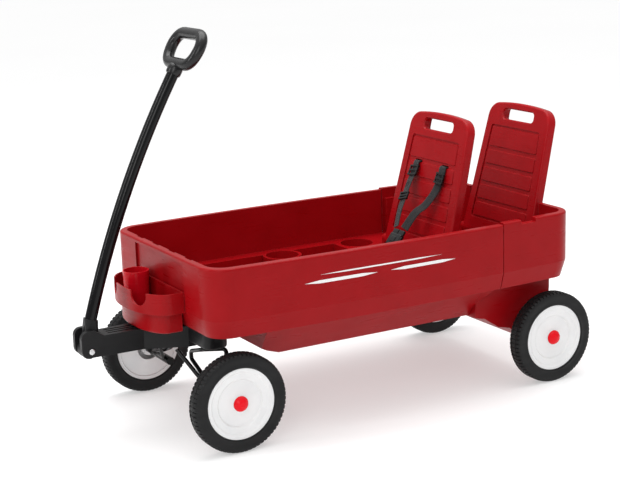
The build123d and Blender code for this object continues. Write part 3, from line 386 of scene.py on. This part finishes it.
# Half section in millimetres: radius, distance outward, and depth of the slots.
half_tread = [(82.6, 16.0, 0.0), (84.0, 19.0, 0.0), (87.0, 20.0, 0.0), (90.0, 19.0, 0.0),
              (98.0, 19.2, 0.0), (105.0, 20.0, 0.0), (109.5, 19.2, 0.0), (112.6, 17.0, 2.0),
              (114.4, 13.6, 2.8), (115.0, 11.0, 2.8), (115.0, 9.2, 2.8), (112.4, 8.6, 0.0),
              (112.4, 6.8, 0.0), (115.0, 6.2, 1.3), (115.0, 2.0, 1.3)]
tread_section = half_tread + [(r, -out, dip) for r, out, dip in reversed(half_tread)]

for node in [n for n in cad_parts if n.endswith("tyre")]:
    low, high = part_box(node)
    hub = (Vector(low) + Vector(high)) / 2
    work = bmesh.new()
    rings = []
    for lug in range(lug_count):
        for share, gap in lug_stations:
            angle = 2 * math.pi * (lug + share) / lug_count
            rings.append([work.verts.new(hub + Vector(((r - dip * gap) * math.cos(angle), out,
                                                       (r - dip * gap) * math.sin(angle))) / 1000)
                          for r, out, dip in tread_section])
    close_rings(work, rings)
    tyre = link_mesh(node + "_tread", work, rubber, lug_edge)
    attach(tyre, node.replace("_tyre", "_wheel"))
    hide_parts(node)

# ---- Side decal ----
# Plain white vinyl stripes on the bed's left side, thin film following the bow of the wall.
vinyl = moulded("white_vinyl", (0.78, 0.78, 0.78), (0.84, 0.84, 0.84), (0.9, 0.9, 0.9), (0.3, 0.4),
                relief=0.0001, shine=0.3)
shell_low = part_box("bed_shell")[0]
bow_radius, bed_middle = 8.441, shell_low[0] + 0.503
film, sunk = 0.0004, 0.0001      # how far the film's face and its back stand off the wall
stripe_steps, stripe_taper, stripe_tip = 40, 5, 0.06
# Each stripe: where it starts and ends along the wagon, its height and half its width.
stripes = ((-0.200, -0.012, 0.3665, 0.0036), (0.026, 0.205, 0.3665, 0.0036),
           (-0.160, 0.165, 0.3825, 0.0017))
work = bmesh.new()
for x_from, x_to, z_mid, half_high in stripes:
    previous = None
    for step in range(stripe_steps + 1):
        share = step / stripe_steps
        x = x_from + (x_to - x_from) * share
        y = shell_low[1] + (x - bed_middle) ** 2 / (2 * bow_radius) - film
        taper = max(stripe_tip, min(1.0, stripe_taper * share, stripe_taper * (1 - share))) * half_high
        pair = [work.verts.new((x, y, z_mid - taper)), work.verts.new((x, y, z_mid + taper))]
        if previous:
            work.faces.new((previous[0], pair[0], pair[1], previous[1]))
        previous = pair
solid = bmesh.ops.extrude_face_region(work, geom=list(work.faces))
bmesh.ops.translate(work, verts=[v for v in solid["geom"] if isinstance(v, bmesh.types.BMVert)],
                    vec=(0, film - sunk, 0))
decal = link_mesh("side_stripes", work, vinyl)
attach(decal, "wagon")

# ---- Harness ----
# Black nylon webbing through two slots in the front seat back, with ladder-lock adjusters, one
# extra slider and a moulded side-release buckle that hangs in front of the seat.
webbing, tree, shader = finish_material("webbing")
lay = put(tree, "UVMap", uv_map="weave").outputs["UV"]
ribs = put(tree, "TexWave", {"Vector": lay, "Scale": 420.0, "Distortion": 0.6, "Detail": 1.0},
           bands_direction="Y")
rows_across = put(tree, "TexWave", {"Vector": lay, "Scale": 300.0, "Distortion": 0.3},
                  bands_direction="X")
weave = put(tree, "Math", {0: ribs.outputs["Fac"], 1: rows_across.outputs["Fac"]}, operation="MULTIPLY")
cloth = put(tree, "ValToRGB", {"Fac": weave.outputs[0]})
cloth.color_ramp.elements[0].color = (0.006, 0.006, 0.0065, 1)
cloth.color_ramp.elements[1].color = (0.026, 0.026, 0.028, 1)
tree.links.new(cloth.outputs["Color"], shader.inputs["Base Color"])
bump = put(tree, "Bump", {"Strength": 0.6, "Distance": 0.0006, "Height": weave.outputs[0]})
tree.links.new(bump.outputs["Normal"], shader.inputs["Normal"])
shader.inputs["Roughness"].default_value = 0.78
shader.inputs["Specular IOR Level"].default_value = 0.25
shader.inputs["Sheen Weight"].default_value = 0.15
buckle_black = moulded("buckle_black", (0.006, 0.006, 0.0065), (0.009, 0.009, 0.0095),
                       (0.04, 0.04, 0.04), (0.26, 0.38), relief=0.0002, grain=1200.0, shine=0.3)

pin_low, pin_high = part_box("front_seat_pin")
hinge = (Vector(pin_low) + Vector(pin_high)) / 2
seat_tilt = math.radians(14.0)
seat_up = Vector((math.sin(seat_tilt), 0, math.cos(seat_tilt)))
seat_out = Vector((-math.cos(seat_tilt), 0, math.sin(seat_tilt)))
seat_face = 0.0125   # from the hinge's line to the face of the raised cells


def on_seat(side_step, up, out):
    """Point on the front seat back: across, up its face, and out from its raised cells."""
    return hinge + Vector((0, side_step, 0)) + seat_up * up + seat_out * (seat_face + out)


def smooth_path(points, steps=10):
    """Catmull-Rom points through a list of points."""
    ends = [points[0] * 2 - points[1]] + list(points) + [points[-1] * 2 - points[-2]]
    path = []
    for a, b, c, d in zip(ends, ends[1:], ends[2:], ends[3:]):
        for step in range(steps):
            t = step / steps
            path.append(0.5 * ((2 * b) + (c - a) * t + (2 * a - 5 * b + 4 * c - d) * t * t
                               + (3 * b - a - 3 * c + d) * t ** 3))
    path.append(points[-1].copy())
    return path


def soften(made, loose):
    """Attach webbing and hardware to the front seat so they turn with it, and loose pieces to the wagon;
    each gets its own copy of its mesh.
    """
    if loose:
        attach(made, "wagon")
        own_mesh(made)
    else:
        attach(made, "front_seat")
        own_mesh(made)


def ribbon(name, points, width=0.025, thickness=0.0022, turns=(0.0, 0.0), loose=False):
    """Band of webbing along a path; turns are its roll at the two ends, in degrees."""
    path = smooth_path(points)
    half, thin = width / 2, thickness / 2
    section = [(-half, -0.4 * thin), (-half, 0.4 * thin), (-0.92 * half, thin), (-0.6 * half, 0.8 * thin),
               (0.6 * half, 0.8 * thin), (0.92 * half, thin), (half, 0.4 * thin), (half, -0.4 * thin),
               (0.92 * half, -thin), (0.6 * half, -0.8 * thin), (-0.6 * half, -0.8 * thin),
               (-0.92 * half, -thin)]
    work = bmesh.new()
    uv = work.loops.layers.uv.new("weave")
    rings, along = [], [0.0]
    for i, spot in enumerate(path):
        run = (path[min(i + 1, len(path) - 1)] - path[max(i - 1, 0)]).normalized()
        across = Vector((0, 1, 0)) - run * run.y
        across.normalize()
        roll = math.radians(turns[0] + (turns[1] - turns[0]) * i / (len(path) - 1))
        across = Matrix.Rotation(roll, 3, run) @ across
        facing = across.cross(run)
        rings.append([work.verts.new(spot + across * u + facing * v) for u, v in section])
        if i:
            along.append(along[-1] + (spot - path[i - 1]).length)
    for i in range(len(rings) - 1):
        for j in range(len(section)):
            k = (j + 1) % len(section)
            face = work.faces.new((rings[i][j], rings[i][k], rings[i + 1][k], rings[i + 1][j]))
            for loop, (row, column) in zip(face.loops, ((i, j), (i, k), (i + 1, k), (i + 1, j))):
                loop[uv].uv = (section[column][0], along[row])
    work.faces.new(rings[0])
    work.faces.new(list(reversed(rings[-1])))
    made = link_mesh(name, work, webbing, 50.0)
    soften(made, loose)
    return made, path


def bars(name, parts, bevel=0.0012, loose=False):
    """Hardware made of rounded bars: each part has a middle, three axes and three sizes."""
    work = bmesh.new()
    for middle, axes, sizes in parts:
        turn = Matrix([list(axis) for axis in axes]).transposed().to_4x4()
        spot = Matrix.Translation(middle) @ turn @ Matrix.Diagonal((*sizes, 1.0))
        made = bmesh.ops.create_cube(work, size=1.0, matrix=spot)
        edges = list({edge for vert in made["verts"] for edge in vert.link_edges})
        bmesh.ops.bevel(work, geom=edges, offset=min(bevel, min(sizes) * 0.45), segments=3,
                        profile=0.6, affect="EDGES")
    made = link_mesh(name, work, buckle_black, 40.0)
    soften(made, loose)
    return made


def frame_at(path, share):
    """Spot on a strap with the directions across it, along it and out of its face."""
    i = max(1, min(len(path) - 2, round(share * (len(path) - 1))))
    run = (path[i + 1] - path[i - 1]).normalized()
    across = (Vector((0, 1, 0)) - run * run.y).normalized()
    out = across.cross(run)
    return path[i], (across, run, out if out.dot(seat_out) > 0 else -out)


def ladder(path, share, width=0.033, tall=0.028, lift=0.0025):
    """Bars of a ladder-lock: two sides and three rungs, the lowest one a thicker grip."""
    spot, (across, run, out) = frame_at(path, share)
    spot = spot + out * lift
    axes = (across, run, out)
    rail = 0.0035
    parts = [(spot + across * side * (width - rail) / 2, axes, (rail, tall, 0.005)) for side in (-1, 1)]
    for place, thick, proud in ((-0.42, 0.0045, 0.0065), (0.0, 0.005, 0.0055), (0.42, 0.005, 0.0075)):
        parts.append((spot + run * tall * place, axes, (width, thick, proud)))
    return parts


slot_up, slot_side = 0.2185, 0.0585
buckle_spot = Vector((0.2180, -0.002, 0.3560))
buckle_tilt = math.radians(38.0)
buckle_out = Vector((-math.cos(buckle_tilt), 0, math.sin(buckle_tilt)))
buckle_up = Vector((math.sin(buckle_tilt), 0, math.cos(buckle_tilt)))
buckle_across = Vector((0, 1, 0))
near_points = [on_seat(-slot_side, slot_up, -0.006), on_seat(-slot_side, slot_up - 0.001, 0.0035),
               on_seat(-slot_side, slot_up - 0.024, 0.005), on_seat(-0.0540, 0.158, 0.009),
               on_seat(-0.0440, 0.118, 0.024), on_seat(-0.0320, 0.092, 0.042),
               buckle_spot + Vector((0.016, -0.021, 0.030))]
far_points = [on_seat(slot_side, slot_up, -0.006), on_seat(slot_side, slot_up - 0.001, 0.0035),
              on_seat(slot_side, slot_up - 0.026, 0.007), on_seat(0.0520, 0.160, 0.020),
              on_seat(0.0400, 0.118, 0.036), on_seat(0.0290, 0.090, 0.048),
              buckle_spot + Vector((0.016, 0.016, 0.030))]
near_strap, near_path = ribbon("shoulder_webbing_near", near_points, turns=(0, -18))
far_strap, far_path = ribbon("shoulder_webbing_far", far_points, turns=(0, 14))
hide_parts("shoulder_strap_left")
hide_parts("shoulder_strap_right")
seat_points = [buckle_spot - buckle_up * 0.014, buckle_spot - buckle_up * 0.034 + Vector((-0.004, 0, 0)),
               hinge + Vector((-0.098, 0, -0.0085)), hinge + Vector((-0.062, 0, -0.0120)),
               hinge + Vector((-0.030, 0, -0.0122)), hinge + Vector((-0.018, 0, -0.0118))]
ribbon("seat_webbing", seat_points, loose=True)
adjusters = bars("ladder_locks", ladder(near_path, 0.37) + ladder(far_path, 0.34))
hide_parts("strap_adjusters")
slider = bars("webbing_slider", ladder(far_path, 0.64, width=0.031, tall=0.020, lift=0.0015))
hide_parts("strap_slider")

stitches = []
patch, (across, run, out) = frame_at(far_path, 0.52)
stitch_rows, stitch_columns, stitch_size = 5, 6, (0.0022, 0.0007, 0.0006)
stitch_pitch, row_pitch, stitch_lift = 0.0034, 0.0030, 0.0013
for row in range(stitch_rows):
    for column in range(stitch_columns):
        spot = (patch + out * stitch_lift + across * (column - 2.5) * stitch_pitch
                + run * (row - 2) * row_pitch)
        stitches.append((spot, (across, run, out), stitch_size))
bars("webbing_stitches", stitches, bevel=0.0002)

shell_axes = (buckle_across, buckle_up, buckle_out)
buckle_parts = [(buckle_spot, shell_axes, (0.046, 0.034, 0.013)),
                (buckle_spot - buckle_up * 0.016, shell_axes, (0.034, 0.014, 0.011)),
                (buckle_spot + buckle_out * 0.0065, shell_axes, (0.018, 0.016, 0.004))]
for side in (-1, 1):
    buckle_parts.append((buckle_spot + buckle_across * side * 0.0235 + buckle_up * 0.002, shell_axes,
                         (0.005, 0.020, 0.008)))
    buckle_parts.append((buckle_spot + buckle_across * side * 0.0125 + buckle_up * 0.022, shell_axes,
                         (0.022, 0.016, 0.008)))
buckle = bars("side_release_buckle", buckle_parts, bevel=0.0035, loose=True)
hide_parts("harness_buckle")
